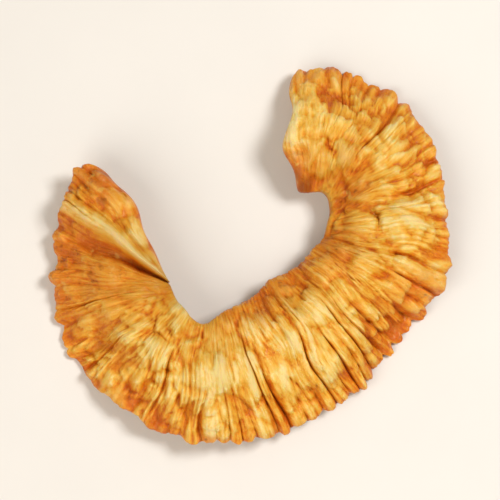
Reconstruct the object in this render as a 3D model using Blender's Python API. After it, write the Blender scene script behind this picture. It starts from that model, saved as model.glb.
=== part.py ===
"""One dried pineapple slice: a cored ring, cut open, that curled and ruffled as it dried.

The slice is a slab that follows the ring round from one cut end to the other. Its flesh is a fan
of fibre bundles that run from the core hole to the rim, with the flesh between them sunk into
grooves and the whole of it shrunk into pillows. It rests on three low spots of its rim. Metres,
+Z up; seen from above, the cut end that starts the ring is at the upper left and the ring runs
anticlockwise from it.
"""

import math
import random
from collections import namedtuple

import bmesh
import bpy
from mathutils import Vector, noise

MM = 0.001

# Where the core hole's centre lies, with the slice's own box centred on the origin.
CORE_CENTRE = Vector((-0.6, 2.1, 0.0)) * MM

# Fibres round the ring, each straight in plan from the core hole to the rim. Angles are in
# degrees round the core's centre and sizes in millimetres: the angle and radius of the fibre's
# end at the rim, those of its end at the core, the heights of the core end, the crest and the
# rim above the floor, how far along the fibre the crest is, from 0 at the core to 1, and the
# shares of their full height that ribs and pillows have there.
Fibre = namedtuple(
    "Fibre", "angle outer inner_angle inner inner_up crest_up rim_up crest_at ribs pillows"
)
FIBRES = (
    Fibre(150, 26.8, 207, 15.5, 7.0, 7.4, 5.6, 0.45, 0.5, 0.6),
    Fibre(157, 32.0, 208, 15.6, 7.8, 8.2, 5.2, 0.38, 0.4, 0.5),
    Fibre(165, 33.0, 209, 15.7, 8.6, 9.0, 4.4, 0.32, 0.4, 0.3),
    Fibre(190, 34.5, 213, 16.0, 8.8, 9.2, 2.0, 0.20, 0.4, 0.3),
    Fibre(210, 36.2, 219, 16.4, 9.2, 9.6, -0.9, 0.15, 0.5, 0.6),
    Fibre(230, 36.9, 229, 17.0, 9.6, 9.9, 2.4, 0.15, 0.8, 0.6),
    Fibre(257, 36.2, 246, 17.0, 8.8, 10.0, 4.2, 0.25, 1.0, 0.5),
    Fibre(280, 34.2, 260, 13.0, 5.6, 9.8, 3.6, 0.38, 1.0, 0.5),
    Fibre(303, 32.6, 300, 9.0, 3.4, 9.4, 1.8, 0.42, 1.0, 0.6),
    Fibre(331, 31.5, 348, 12.4, 3.2, 9.2, -2.2, 0.42, 0.9, 0.7),
    Fibre(344, 35.2, 357, 13.6, 3.9, 9.6, 2.8, 0.42, 0.7, 0.8),
    Fibre(370, 35.6, 371, 14.8, 4.8, 9.8, 4.4, 0.42, 0.5, 0.8),
    Fibre(392, 37.5, 382, 15.9, 5.2, 9.4, 2.8, 0.42, 0.4, 0.9),
    Fibre(417, 35.6, 392, 16.0, 5.2, 8.8, -2.0, 0.45, 0.4, 0.9),
    Fibre(430, 32.8, 400, 14.0, 3.6, 8.2, 1.8, 0.50, 0.5, 0.6),
    Fibre(438, 28.8, 409, 11.6, 2.4, 7.2, 3.0, 0.55, 0.6, 0.5),
)

# Folds run along the fibres: the angle of the fibre, the height and the half width in degrees.
Fold = namedtuple("Fold", "angle height width")
FOLDS = (
    Fold(167.5, 2.8 * MM, 3.6),
    Fold(175.5, -3.0 * MM, 4.4),
    Fold(262.0, 0.7 * MM, 6.0),
    Fold(352.0, -0.8 * MM, 5.0),
)
# A fold grows to its full height between these shares of a fibre, and is half as high at the rim.
FOLD_GROWS = (-0.2, 0.3)
FOLD_LOSS_AT_RIM = 0.5

# Creases are valleys from one place to another, or ridges where the depth is below 0. An end is
# a fibre and how far along it; a crease with both ends alike is a round hollow.
Crease = namedtuple("Crease", "angle along to_angle to_along depth radius")
CREASES = (
    Crease(389.0, 0.02, 369.0, 0.42, 1.5 * MM, 1.3 * MM),
    Crease(384.0, 0.10, 366.0, 0.34, -0.8 * MM, 1.4 * MM),
    Crease(397.0, 0.15, 399.0, 0.30, 1.4 * MM, 2.2 * MM),
    Crease(391.0, 0.55, 383.0, 0.95, 0.9 * MM, 0.9 * MM),
    Crease(408.0, 0.50, 412.0, 0.62, 1.1 * MM, 2.8 * MM),
    Crease(419.0, 0.30, 424.0, 0.75, 0.9 * MM, 1.1 * MM),
    Crease(214.0, 0.70, 214.0, 0.70, 1.0 * MM, 3.0 * MM),
    Crease(247.0, 0.45, 247.0, 0.45, 0.8 * MM, 2.8 * MM),
)

# Slits are deep splits between bundles: the fibre, and how far along it they start and end.
Slit = namedtuple("Slit", "angle start end")
SLITS = (
    Slit(200.0, 0.50, 0.85),
    Slit(219.0, 0.55, 0.90),
    Slit(243.0, 0.36, 0.84),
    Slit(280.0, 0.25, 0.60),
    Slit(286.0, 0.50, 0.80),
    Slit(298.0, 0.50, 0.75),
    Slit(307.3, 0.60, 0.88),
    Slit(315.3, 0.43, 0.77),
    Slit(344.0, 0.65, 0.95),
    Slit(353.0, 0.60, 0.90),
    Slit(380.0, 0.60, 0.90),
    Slit(405.0, 0.45, 0.80),
)
SLIT_DEPTH = 1.8 * MM
# How far a slit's slopes reach past its start and end, and back inside them.
SLIT_OUTSIDE = 0.12
SLIT_INSIDE = 0.06

# The slab's thickness, which shrinks from the crest to the rim and rounds off at every edge.
FLESH_THICKNESS = 3.7 * MM
RIM_THICKNESS = 2.2 * MM
THINNING_FROM = 0.35
THINNEST_FLESH = 0.7 * MM
FOOT_THICKNESS = 1.1 * MM
EDGE_THICKNESS_SHARE = 0.55
EDGE_ROUNDING = 0.07
END_THICKNESS_SHARE = 0.6
END_ROUNDING_BUNDLES = 0.5

# Fibre bundles: their number, uneven widths, crowned tops, grooves and ends at the rim, which
# also has wider lobes.
SEED = 7
BUNDLES = 60
WIDTH_SPREAD = (0.6, 1.4)
CROWN_HEIGHT = 0.35 * MM
CROWN_SPREAD = (0.4, 1.5)
GROOVE_DEPTH = 0.8 * MM
GROOVE_SPREAD = (0.35, 1.4)
GROOVE_START = (0.05, 0.6)
GROOVE_RISE = 0.4
GROOVE_SHARPNESS = 2.4
CROWN_FLATNESS = 2.0
FULL_BUNDLE = 2.4 * MM
SCALLOP = 0.7 * MM
SCALLOP_SPREAD = (-0.6, 1.0)
SCALLOP_FROM = 0.7
LOBE_LENGTH = 1.1 * MM
LOBE_PITCH = 6.5
UNDERSIDE_SHARE = 0.5

# Fibres wander together, and each bundle's edge swings on its own, by these many degrees.
WANDER = 3.4
WANDER_PITCH = 11.0
WANDERS_ALONG = 2.2
SWING = 1.7
SWINGS_ALONG = 1.9

# The cut ends are ragged and have rounded corners: how far, in degrees, they swing, how far the
# corners give way, and how far round the ring both reach.
CUT_SWING = 7.0
CUT_SWINGS_ALONG = 2.6
CUT_CORNER = 4.5
CUT_REACH = 7.0

# Uneven heights: waves at the rim, lumps, a wide warp and the pillows with creases round them.
RUFFLE_HEIGHT = 2.2 * MM
RUFFLE_PITCH = 7.5
RUFFLES_ALONG = 0.8
RUFFLE_FROM_RIM_UP = 0.6
RUFFLE_FULL_RIM_UP = 3.0
LUMP_HEIGHT = 1.8 * MM
LUMP_SIZE = 5.5 * MM
LUMPS_FADE_FROM = 0.7
WARP_HEIGHT = 2.4 * MM
WARP_SIZE = 15.0 * MM
WARP_FADES_FROM = 0.6
FADE_TO = 1.1
PILLOW_HEIGHT = 1.3 * MM
PILLOW_SIZE = 4.4 * MM
PILLOW_MIDDLE = 0.5
PILLOW_SHOULDER = 0.7
PILLOW_DRIFT = 0.5
PILLOW_DRIFT_PITCH = 1.3
PILLOW_EDGE = 0.15

# Which of the many noise patterns each use reads.
WANDER_PATTERN = 9.0
SWING_PATTERN = 5.0
CUT_PATTERN = 71.5
RUFFLE_PATTERN = 3.0
PILLOW_PATTERN = 7.0
PILLOW_DRIFT_PATTERN = 9.0
LOBE_PATTERN = 61.0

# The grid that the slab is bent from, and the step over which its slope is measured.
COLUMNS_PER_BUNDLE = 4
ROWS_ACROSS = 11
ROWS_CROWDING = 0.5
COUNTING_SLACK = 1e-6
SLOPE_STEP = 0.01
SHORTEST_WAY = 0.001 * MM


def clear_scene():
    """Empties the scene."""
    for obj in list(bpy.data.objects):
        bpy.data.objects.remove(obj)


def smooth_step(low, high, value):
    """0 at low, 1 at high, and a smooth run between them."""
    share = min(1.0, max(0.0, (value - low) / (high - low)))
    return share * share * (3.0 - 2.0 * share)


def bulge(along):
    """0 at both ends of a fibre and 1 in its middle."""
    return math.sin(math.pi * min(1.0, max(0.0, along)))


def fibre_at(angle):
    """The fibre that meets the rim at an angle, on a smooth curve through FIBRES."""
    i = next((i for i in range(1, len(FIBRES)) if angle <= FIBRES[i].angle), len(FIBRES) - 1)
    before, here, there = FIBRES[max(0, i - 2)], FIBRES[i - 1], FIBRES[i]
    after = FIBRES[min(len(FIBRES) - 1, i + 1)]
    span = there.angle - here.angle
    t = (angle - here.angle) / span
    values = []
    for k in range(1, len(here)):
        slope_here = (there[k] - before[k]) / (there.angle - before.angle) * span
        slope_there = (after[k] - here[k]) / (after.angle - here.angle) * span
        values.append(
            (2 * t**3 - 3 * t**2 + 1) * here[k]
            + (t**3 - 2 * t**2 + t) * slope_here
            + (3 * t**2 - 2 * t**3) * there[k]
            + (t**3 - t**2) * slope_there
        )
    return Fibre(angle, *values)


def on_circle(radius, angle):
    """The point in plan at a radius in millimetres and an angle in degrees."""
    turn = math.radians(angle)
    return Vector((math.cos(turn), math.sin(turn))) * radius * MM


def in_plan(angle, along):
    """The point in plan that is a share of the way along a fibre, which wanders a little."""
    spot = Vector((angle / WANDER_PITCH, along * WANDERS_ALONG, WANDER_PATTERN))
    angle += WANDER * noise.noise(spot) * bulge(along)
    fibre = fibre_at(angle)
    return on_circle(fibre.inner, fibre.inner_angle).lerp(on_circle(fibre.outer, angle), along)


class Bundle:
    """One fibre bundle: where it starts, how proud it stands and how deep its groove is."""

    def __init__(self, angle, rng):
        self.angle = angle
        self.crown = CROWN_HEIGHT * rng.uniform(*CROWN_SPREAD)
        self.groove = GROOVE_DEPTH * rng.uniform(*GROOVE_SPREAD)
        self.scallop = SCALLOP * rng.uniform(*SCALLOP_SPREAD)
        self.groove_from = rng.uniform(*GROOVE_START)
        self.slit = None

    def angle_at(self, along):
        """Where the bundle's edge runs, as it swings from side to side."""
        spot = Vector((self.angle, along * SWINGS_ALONG, SWING_PATTERN))
        turn = SWING * noise.noise(spot) * bulge(along)
        for end, inwards in ((FIBRES[0].angle, 1.0), (FIBRES[-1].angle, -1.0)):
            spot = Vector((end, along * CUT_SWINGS_ALONG, CUT_PATTERN))
            ragged = CUT_SWING * noise.noise(spot) * bulge(along)
            corner = inwards * CUT_CORNER * (1.0 - math.sqrt(bulge(along)))
            turn += (ragged + corner) * math.exp(-abs(self.angle - end) / CUT_REACH)
        return self.angle + turn

    def groove_at(self, along):
        """The depth of the groove, which starts some way out from the core."""
        return self.groove * smooth_step(self.groove_from, self.groove_from + GROOVE_RISE, along)

    def slit_at(self, along):
        """The depth that a slit adds to the groove."""
        if not self.slit:
            return 0.0
        start, end = self.slit.start, self.slit.end
        opens = smooth_step(start - SLIT_OUTSIDE, start + SLIT_INSIDE, along)
        closes = smooth_step(end + SLIT_OUTSIDE, end - SLIT_INSIDE, along)
        return SLIT_DEPTH * opens * closes


def fibre_bundles():
    """The bundles round the ring, of uneven width, with a last one that only closes the fan."""
    rng = random.Random(SEED)
    widths = [rng.uniform(*WIDTH_SPREAD) for _ in range(BUNDLES)]
    scale = (FIBRES[-1].angle - FIBRES[0].angle) / sum(widths)
    bundles = [Bundle(FIBRES[0].angle + scale * sum(widths[:i]), rng) for i in range(BUNDLES + 1)]
    for slit in SLITS:
        nearest = min(bundles, key=lambda bundle: abs(bundle.angle - slit.angle))
        nearest.slit = slit
    return bundles


def crease_depth(crease, point):
    """How far a crease lowers a point in plan."""
    start = in_plan(crease.angle, crease.along)
    way = in_plan(crease.to_angle, crease.to_along) - start
    share = (point - start).dot(way) / max(way.length_squared, SHORTEST_WAY**2)
    nearest = start + way * min(1.0, max(0.0, share))
    apart = (point - nearest).length / crease.radius
    return crease.depth * math.exp(-apart * apart)


def middle_height(angle, along):
    """The height of the slab's middle surface at a place along a fibre."""
    fibre = fibre_at(angle)
    if along < fibre.crest_at:
        share = math.sin(0.5 * math.pi * along / fibre.crest_at)
        height = fibre.inner_up + (fibre.crest_up - fibre.inner_up) * share
    else:
        share = math.cos(0.5 * math.pi * (along - fibre.crest_at) / (1.0 - fibre.crest_at))
        height = fibre.rim_up + (fibre.crest_up - fibre.rim_up) * share
    height *= MM

    fold_share = smooth_step(*FOLD_GROWS, along) * (1.0 - FOLD_LOSS_AT_RIM * along)
    for fold in FOLDS:
        height += fold.height * fold_share * math.exp(-(((angle - fold.angle) / fold.width) ** 2))
    point = in_plan(angle, along)
    for crease in CREASES:
        height -= crease_depth(crease, point)

    ruffle = noise.noise(Vector((angle / RUFFLE_PITCH, along * RUFFLES_ALONG, RUFFLE_PATTERN)))
    ruffle *= along**2 * smooth_step(RUFFLE_FROM_RIM_UP, RUFFLE_FULL_RIM_UP, fibre.rim_up)
    spot = point.to_3d()
    lump = noise.noise(spot / LUMP_SIZE) * smooth_step(FADE_TO, LUMPS_FADE_FROM, along)
    warp = noise.noise(spot / WARP_SIZE) * smooth_step(FADE_TO, WARP_FADES_FROM, along)
    return height + RUFFLE_HEIGHT * ruffle + LUMP_HEIGHT * lump + WARP_HEIGHT * warp


def pillow_at(point):
    """The height of the pillows at a point in plan, from 0 in a crease to 1."""
    x, y = point.x / PILLOW_SIZE, point.y / PILLOW_SIZE
    spot = Vector((x, y, 0.0)) * PILLOW_DRIFT_PITCH
    spot.z = PILLOW_DRIFT_PATTERN
    drift = PILLOW_DRIFT * noise.noise(spot)
    nearest, _ = noise.voronoi(Vector((x + drift, y - drift, PILLOW_PATTERN)))
    to_crease = min(1.0, (nearest[1] - nearest[0]) / PILLOW_SHOULDER)
    return 1.0 - (1.0 - to_crease) ** 2


def thickness(around, along):
    """The slab's thickness, less at the rim and rounded off at all four edges of the grid."""
    thinning = smooth_step(THINNING_FROM, 1.0, along)
    thick = FLESH_THICKNESS + (RIM_THICKNESS - FLESH_THICKNESS) * thinning
    to_edge = min(1.0, along / EDGE_ROUNDING, (1.0 - along) / EDGE_ROUNDING)
    thick *= EDGE_THICKNESS_SHARE + (1.0 - EDGE_THICKNESS_SHARE) * math.sqrt(to_edge)
    to_end = min(1.0, BUNDLES * min(around, 1.0 - around) / END_ROUNDING_BUNDLES)
    return thick * (END_THICKNESS_SHARE + (1.0 - END_THICKNESS_SHARE) * math.sqrt(to_end))


def slab_point(around, along, level, bundles):
    """Where a point of the flat unit slab goes: round the ring, along a fibre, and up through it."""
    index = min(BUNDLES - 1, int(around * BUNDLES + COUNTING_SLACK))
    part = around * BUNDLES - index
    bundle, following = bundles[index], bundles[index + 1]
    # Rows crowd towards both ends of the fibres, where the slab rounds off.
    along += ROWS_CROWDING * (0.5 * (1.0 - math.cos(math.pi * along)) - along)
    start, end = bundle.angle_at(along), following.angle_at(along)
    angle = start + (end - start) * part
    fibre = fibre_at(angle)

    point = in_plan(angle, along)
    height = middle_height(angle, along)
    step = in_plan(angle, along + SLOPE_STEP) - in_plan(angle, along - SLOPE_STEP)
    rise = middle_height(angle, along + SLOPE_STEP) - middle_height(angle, along - SLOPE_STEP)
    length = math.hypot(step.length, rise)
    outwards, upwards = -rise / length, step.length / length

    fullness = min(1.0, (in_plan(end, along) - in_plan(start, along)).length / FULL_BUNDLE)
    bow = math.sin(math.pi * part)
    valley = 1.0 - bow
    edge = bundle if part < 0.5 else following
    sunk = edge.groove_at(along) * fibre.ribs + edge.slit_at(along)
    pillow = PILLOW_HEIGHT * (pillow_at(point) - PILLOW_MIDDLE) * fibre.pillows
    pillow *= smooth_step(0.0, PILLOW_EDGE, along) * smooth_step(1.0, 1.0 - PILLOW_EDGE, along)
    relief = bundle.crown * fibre.ribs * (1.0 - valley**CROWN_FLATNESS)
    relief -= sunk * valley**GROOVE_SHARPNESS
    thick = thickness(around, along)
    deepest = max(0.0, thick - THINNEST_FLESH) / (1.0 + UNDERSIDE_SHARE)
    relief = max(relief * fullness + pillow, -deepest)
    if level > 0.5:
        off = 0.5 * thick + relief
    else:
        off = -0.5 * thick - relief * UNDERSIDE_SHARE

    lobe = LOBE_LENGTH * noise.noise(Vector((angle / LOBE_PITCH, 0.0, LOBE_PATTERN)))
    longer = (bundle.scallop * bow + lobe) * smooth_step(SCALLOP_FROM, 1.0, along)
    point += step.normalized() * (off * outwards + longer)
    # Where the rim reaches the floor, it is pressed flat into a foot.
    lowest = FOOT_THICKNESS if level > 0.5 else 0.0
    return CORE_CENTRE + Vector((point.x, point.y, max(lowest, height + off * upwards)))


def make_slice():
    """The slice as one closed body, bent from a flat slab whose columns follow the fibres."""
    bundles = fibre_bundles()
    bm = bmesh.new()
    columns = BUNDLES * COLUMNS_PER_BUNDLE
    bmesh.ops.create_grid(bm, x_segments=ROWS_ACROSS, y_segments=columns, size=0.5)
    made = bmesh.ops.extrude_face_region(bm, geom=bm.faces[:])
    raised = [part for part in made["geom"] if isinstance(part, bmesh.types.BMVert)]
    bmesh.ops.translate(bm, verts=raised, vec=(0.0, 0.0, 1.0))
    bmesh.ops.recalc_face_normals(bm, faces=bm.faces[:])
    for vert in bm.verts:
        along, around, level = vert.co.x + 0.5, vert.co.y + 0.5, vert.co.z
        vert.co = slab_point(around, along, level, bundles)
    mesh = bpy.data.meshes.new("dried_pineapple_slice")
    bm.to_mesh(mesh)
    bm.free()
    mesh.shade_smooth()
    return bpy.data.objects.new("dried_pineapple_slice", mesh)


def dried_flesh():
    """Golden, faintly waxy dried fruit."""
    material = bpy.data.materials.new("dried_flesh")
    material.use_nodes = True
    shader = material.node_tree.nodes["Principled BSDF"]
    shader.inputs["Base Color"].default_value = (0.78, 0.41, 0.08, 1.0)
    shader.inputs["Roughness"].default_value = 0.5
    shader.inputs["Metallic"].default_value = 0.0
    return material


def main():
    clear_scene()
    collection = bpy.data.collections.new("dried_pineapple")
    bpy.context.scene.collection.children.link(collection)
    fruit = make_slice()
    fruit.data.materials.append(dried_flesh())
    collection.objects.link(fruit)


main()
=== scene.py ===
"""A dried pineapple slice, dressed: its fibrous flesh, its frayed rim and the studio round it.

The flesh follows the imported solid's own rule for its shape on a far finer grid, with higher
pillows and softer slits at the bottom of the ring. It adds what the solid leaves out: strands
inside each bundle, crinkles across them, grains, nodules and sharp slits.
Metres, +Z up; angles are in degrees round the core hole's centre, anticlockwise from +X.
"""

from __future__ import annotations

import logging
import math
import random
from dataclasses import astuple, dataclass, field
from enum import Enum
from typing import Sequence, Union

import bmesh
import bpy
import numpy as np
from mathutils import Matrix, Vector, noise


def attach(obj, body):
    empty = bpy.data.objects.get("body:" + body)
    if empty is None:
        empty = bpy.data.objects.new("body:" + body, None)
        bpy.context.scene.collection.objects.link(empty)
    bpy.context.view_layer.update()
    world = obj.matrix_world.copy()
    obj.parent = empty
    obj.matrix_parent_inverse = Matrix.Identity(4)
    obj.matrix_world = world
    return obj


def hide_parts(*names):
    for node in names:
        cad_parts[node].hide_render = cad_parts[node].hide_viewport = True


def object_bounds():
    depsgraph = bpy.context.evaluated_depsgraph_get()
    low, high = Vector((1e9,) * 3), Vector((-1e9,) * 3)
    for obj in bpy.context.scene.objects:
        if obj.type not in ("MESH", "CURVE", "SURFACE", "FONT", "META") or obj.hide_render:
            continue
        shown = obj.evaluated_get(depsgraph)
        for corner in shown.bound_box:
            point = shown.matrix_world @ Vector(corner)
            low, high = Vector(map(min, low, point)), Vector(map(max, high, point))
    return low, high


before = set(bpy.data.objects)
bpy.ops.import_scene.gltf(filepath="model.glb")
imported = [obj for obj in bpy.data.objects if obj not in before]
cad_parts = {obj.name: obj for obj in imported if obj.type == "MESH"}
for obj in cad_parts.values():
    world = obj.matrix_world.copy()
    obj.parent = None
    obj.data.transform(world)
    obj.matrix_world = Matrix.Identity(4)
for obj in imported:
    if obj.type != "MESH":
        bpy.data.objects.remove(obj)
CAD_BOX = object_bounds()

MM = 0.001
NODE = "dried_pineapple_slice"
# How steeply strands rise from the valleys between them, and how round their backs are.
STRAND_GAIN = 1.9
STRAND_ROUNDING = 0.7

Pair = tuple[float, float]
Triple = tuple[float, float, float]
Values = Union[np.ndarray, float]
Socket = bpy.types.NodeSocket
Source = Union[Socket, float, tuple[float, ...]]

log = logging.getLogger("dried_pineapple")


def smooth_step(low: Values, high: Values, value: Values) -> np.ndarray:
    """A smooth rise from 0 to 1.

    Args:
        low: Where the rise starts.
        high: Where it ends. Below low, the rise runs the other way.
        value: The places to read it at.

    Returns:
        The share at each place, from 0 to 1.
    """
    share = np.clip((value - low) / (high - low), 0.0, 1.0)
    return share * share * (3.0 - 2.0 * share)


def dome(away: np.ndarray, shoulder: float) -> np.ndarray:
    """A rise from 0 that levels off at 1.

    Args:
        away: How far each place is from the foot of the rise.
        shoulder: How far from its foot the rise is level.

    Returns:
        The share of the rise at each place.
    """
    return 1.0 - (1.0 - np.minimum(1.0, away / shoulder)) ** 2


def noise_field(x: Values, y: Values, z: Values = 0.0) -> np.ndarray:
    """Smooth noise at many places at once.

    Args:
        x: First coordinate of each place, in steps of about one bump.
        y: Second coordinate.
        z: Third coordinate, which picks one of many patterns where it is the same everywhere.

    Returns:
        The noise at each place, within about -1 and 1.
    """
    x, y, z = np.broadcast_arrays(x, y, z)
    places = zip(x.ravel().tolist(), y.ravel().tolist(), z.ravel().tolist())
    return np.array([noise.noise(place) for place in places]).reshape(x.shape)


def noise_in_plan(plan: np.ndarray, size: float) -> np.ndarray:
    """Smooth noise over places in plan, with bumps of about the given size."""
    return noise_field(plan[..., 0] / size, plan[..., 1] / size)


def strands_field(x: np.ndarray, y: np.ndarray, pattern: float) -> np.ndarray:
    """Rounded strands side by side along y, with sharp valleys between them.

    Args:
        x: Place across the strands, in strand widths.
        y: Place along the strands, in strand lengths.
        pattern: Picks one of many patterns.

    Returns:
        The height of each place, from 0 in a valley to about 1.
    """
    height = STRAND_GAIN * np.abs(noise_field(x, y, pattern))
    return np.minimum(1.0, height) ** STRAND_ROUNDING


@dataclass(frozen=True)
class Fibre:
    """One fibre, straight in plan from the core hole to the rim, or many where fields are arrays.

    Angles are in degrees and sizes in millimetres: the angle and radius of the end at the rim,
    those of the end at the core, the heights of the core end, the crest and the rim above the
    floor, how far along the crest is, from 0 at the core to 1, and the shares of their full
    height that the ribs and the pillows have there.
    """

    angle: float
    outer: float
    inner_angle: float
    inner: float
    inner_up: float
    crest_up: float
    rim_up: float
    crest_at: float
    ribs: float
    pillows: float


@dataclass(frozen=True)
class Fold:
    """A fold that runs along the fibres, by its fibre, height and half width in degrees."""

    angle: float
    height: float
    width: float


@dataclass(frozen=True)
class Crease:
    """A valley in the flesh from one place to another, or a ridge if its depth is below 0.

    Each end is a fibre and how far along it. A crease with both ends alike is a round hollow.
    """

    angle: float
    along: float
    to_angle: float
    to_along: float
    depth: float
    radius: float


@dataclass(frozen=True)
class Slit:
    """A deep split between bundles: its fibre, where along it starts and ends, and how deep.

    The depth is a share of the fan's own slit depth.
    """

    angle: float
    start: float
    end: float
    depth: float = 1.0


@dataclass(frozen=True)
class Patch:
    """A patch of another tone: its fibre, how far along it, its half sizes and its strength."""

    angle: float
    along: float
    wide: float
    long: float
    strength: float = 1.0

    def share(self, angle: np.ndarray, along: np.ndarray) -> np.ndarray:
        """How much of the patch's tone each place has.

        Args:
            angle: The fibre of each place.
            along: How far along its fibre each place is.

        Returns:
            The share at each place, from 0 to the patch's strength.
        """
        apart = ((angle - self.angle) / self.wide) ** 2 + ((along - self.along) / self.long) ** 2
        return self.strength * np.exp(-apart)


class Side(Enum):
    """The two faces of the slice: the way they look, and how deep their relief is."""

    TOP = (1.0, 1.0, 1.0)
    UNDERSIDE = (-1.0, 0.5, 0.8)

    @property
    def sign(self) -> float:
        """1 for the face that looks up and -1 for the one that looks down."""
        return self.value[0]

    @property
    def depth(self) -> float:
        """The share of the top's bundles, slits and pillows that this face has."""
        return self.value[1]

    @property
    def fine_depth(self) -> float:
        """The share of the top's strands, crinkles and grains that this face has."""
        return self.value[2]


# From the cut end at the upper left, anticlockwise by the bottom, to the cut end at the top.
FIBRES = (
    Fibre(150, 26.8, 207, 15.5, 7.0, 7.4, 5.6, 0.45, 0.5, 0.6),
    Fibre(157, 32.0, 208, 15.6, 7.8, 8.2, 5.2, 0.38, 0.4, 0.5),
    Fibre(165, 33.0, 209, 15.7, 8.6, 9.0, 4.4, 0.32, 0.4, 0.3),
    Fibre(190, 34.5, 213, 16.0, 8.8, 9.2, 2.0, 0.20, 0.4, 0.3),
    Fibre(210, 36.2, 219, 16.4, 9.2, 9.6, -0.9, 0.15, 0.5, 0.8),
    Fibre(230, 36.9, 229, 17.0, 9.6, 9.9, 2.4, 0.15, 0.7, 1.1),
    Fibre(257, 36.2, 246, 17.0, 8.8, 10.0, 4.2, 0.25, 0.9, 0.7),
    Fibre(280, 34.2, 260, 13.0, 5.6, 9.8, 3.6, 0.38, 1.0, 0.7),
    Fibre(303, 32.6, 300, 9.0, 3.4, 9.4, 1.8, 0.42, 1.0, 0.8),
    Fibre(331, 31.5, 348, 12.4, 3.2, 9.2, -2.2, 0.42, 0.9, 0.8),
    Fibre(344, 35.2, 357, 13.6, 3.9, 9.6, 2.8, 0.42, 0.7, 0.8),
    Fibre(370, 35.6, 371, 14.8, 4.8, 9.8, 4.4, 0.42, 0.5, 0.8),
    Fibre(392, 37.5, 382, 15.9, 5.2, 9.4, 2.8, 0.42, 0.4, 0.9),
    Fibre(417, 35.6, 392, 16.0, 5.2, 8.8, -2.0, 0.45, 0.4, 0.9),
    Fibre(430, 32.8, 400, 14.0, 3.6, 8.2, 1.8, 0.50, 0.5, 0.6),
    Fibre(438, 28.8, 409, 11.6, 2.4, 7.2, 3.0, 0.55, 0.6, 0.5),
)
FIRST_ANGLE, LAST_ANGLE = FIBRES[0].angle, FIBRES[-1].angle
FOLDS = (
    Fold(167.5, 2.8 * MM, 3.6),
    Fold(175.5, -3.0 * MM, 4.4),
    Fold(262.0, 0.7 * MM, 6.0),
    Fold(352.0, -0.8 * MM, 5.0),
)
CREASES = (
    Crease(389.0, 0.02, 369.0, 0.42, 1.5 * MM, 1.3 * MM),
    Crease(384.0, 0.10, 366.0, 0.34, -0.8 * MM, 1.4 * MM),
    Crease(397.0, 0.15, 399.0, 0.30, 1.4 * MM, 2.2 * MM),
    Crease(391.0, 0.55, 383.0, 0.95, 0.9 * MM, 0.9 * MM),
    Crease(408.0, 0.50, 412.0, 0.62, 1.1 * MM, 2.8 * MM),
    Crease(419.0, 0.30, 424.0, 0.75, 0.9 * MM, 1.1 * MM),
    Crease(214.0, 0.70, 214.0, 0.70, 1.0 * MM, 3.0 * MM),
    Crease(247.0, 0.45, 247.0, 0.45, 0.8 * MM, 2.8 * MM),
)
SLITS = (
    Slit(200.0, 0.50, 0.85),
    Slit(219.0, 0.55, 0.90),
    Slit(243.0, 0.36, 0.84),
    Slit(277.0, 0.30, 0.80, 0.7),
    Slit(286.0, 0.50, 0.80, 0.4),
    Slit(298.0, 0.50, 0.75, 0.6),
    Slit(307.3, 0.60, 0.88, 1.2),
    Slit(315.3, 0.43, 0.77),
    Slit(344.0, 0.65, 0.95),
    Slit(353.0, 0.60, 0.90),
    Slit(380.0, 0.60, 0.90),
    Slit(405.0, 0.45, 0.80),
)
BROWN_AND_SHADE_PATCHES = (
    Patch(154.0, 0.86, 8.0, 0.26, 1.5),
    # Here and at 193 degrees: partly the left arm's deeper orange, partly painted shade in the valley
    # below its fold.
    Patch(180.0, 0.55, 9.0, 0.50, 1.0),
    Patch(186.0, 0.92, 18.0, 0.15, 1.2),
    Patch(193.0, 0.50, 15.0, 0.50, 0.8),
    Patch(202.0, 0.90, 6.0, 0.14, 1.0),
    Patch(224.0, 0.99, 8.0, 0.10, 0.7),
    Patch(234.0, 0.88, 5.0, 0.12, 0.8),
    Patch(244.0, 0.96, 5.0, 0.13, 0.9),
    Patch(300.0, 0.02, 34.0, 0.22, 1.0),
    Patch(345.0, 0.12, 24.0, 0.20, 0.9),
    Patch(331.0, 0.92, 7.0, 0.20, 0.6),
    Patch(343.0, 0.85, 4.5, 0.15, 1.4),
    # Partly painted shade along the crease at the right arm's core end.
    Patch(388.0, 0.20, 8.0, 0.22, 1.1),
    Patch(404.0, 0.30, 8.0, 0.20, 0.6),
    Patch(432.0, 0.98, 14.0, 0.14, 0.9),
    # Painted shade on the flap by the core at the top cut end, far past full browning so that it
    # turns dark brown.
    Patch(434.0, 0.00, 10.0, 0.25, 2.6),
)
PALE_AND_HIGHLIGHT_PATCHES = (
    # Painted highlight on the steep cut face of the top cut end, partly pale fibres.
    Patch(435.0, 0.55, 4.5, 0.30, 2.3),
    Patch(218.0, 0.74, 9.0, 0.26, 1.4),
    Patch(404.0, 0.62, 12.0, 0.22, 0.8),
    Patch(416.0, 0.80, 9.0, 0.18, 0.6),
    Patch(232.0, 0.03, 14.0, 0.10, 1.1),
    Patch(237.0, 0.42, 14.0, 0.36, 0.9),
    Patch(262.0, 0.72, 14.0, 0.26, 0.9),
    Patch(292.0, 0.76, 13.0, 0.22, 0.9),
    Patch(282.0, 0.42, 34.0, 0.34, 1.2),
    Patch(362.0, 0.62, 15.0, 0.28, 0.9),
    Patch(322.0, 0.60, 14.0, 0.22, 0.6),
    # Here and at 167.5 degrees: the fold's ridge on the left arm, partly pale flesh, partly painted
    # highlight.
    Patch(166.0, 0.50, 3.5, 0.45, 1.2),
    Patch(167.5, 0.78, 3.5, 0.20, 1.0),
    Patch(155.0, 0.35, 6.0, 0.30, 0.7),
)


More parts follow.
